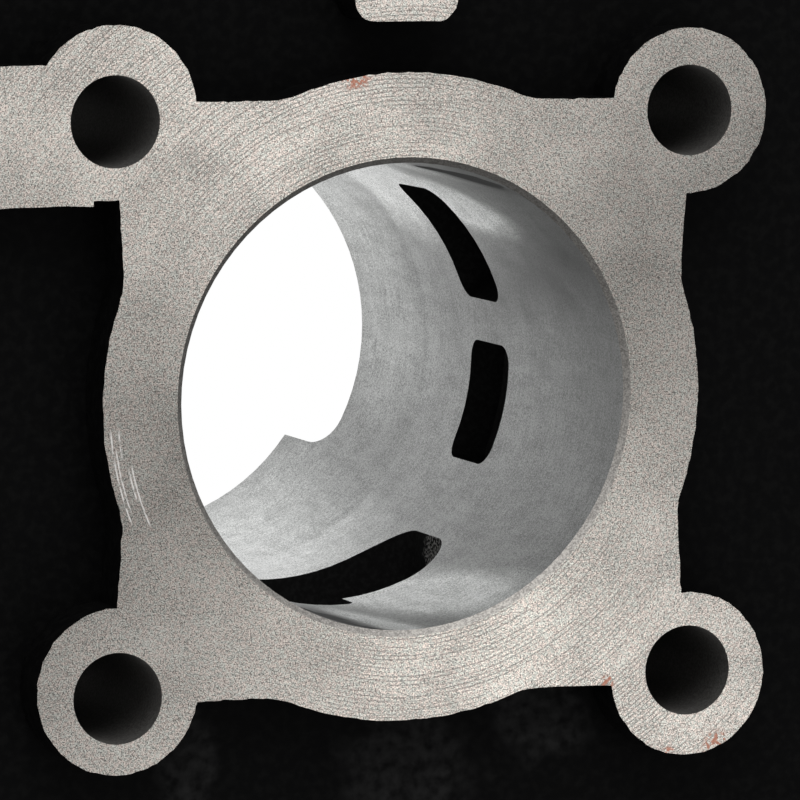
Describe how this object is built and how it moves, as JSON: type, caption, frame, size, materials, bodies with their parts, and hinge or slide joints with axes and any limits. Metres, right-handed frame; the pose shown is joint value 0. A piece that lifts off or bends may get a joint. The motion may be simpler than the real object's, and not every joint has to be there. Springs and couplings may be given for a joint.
{
  "type": "engine cylinder",
  "caption": "Finned cast-iron cylinder of a small air-cooled two-stroke, with ported bore, stud bosses, side exhaust flange and cut-away skirt.",
  "frame": {"origin": "on the bore's axis, in the plane of the crankcase joint face", "axes": "+Z along the bore toward the head joint face (deck), -Y toward the exhaust, +X to the right with the deck facing the viewer and the exhaust below"},
  "size_m": [0.094, 0.094, 0.08],
  "materials": {
    "casting": "satin"
  },
  "bodies": {
    "root": {"cylinder": "casting"}
  },
  "joints": []
}
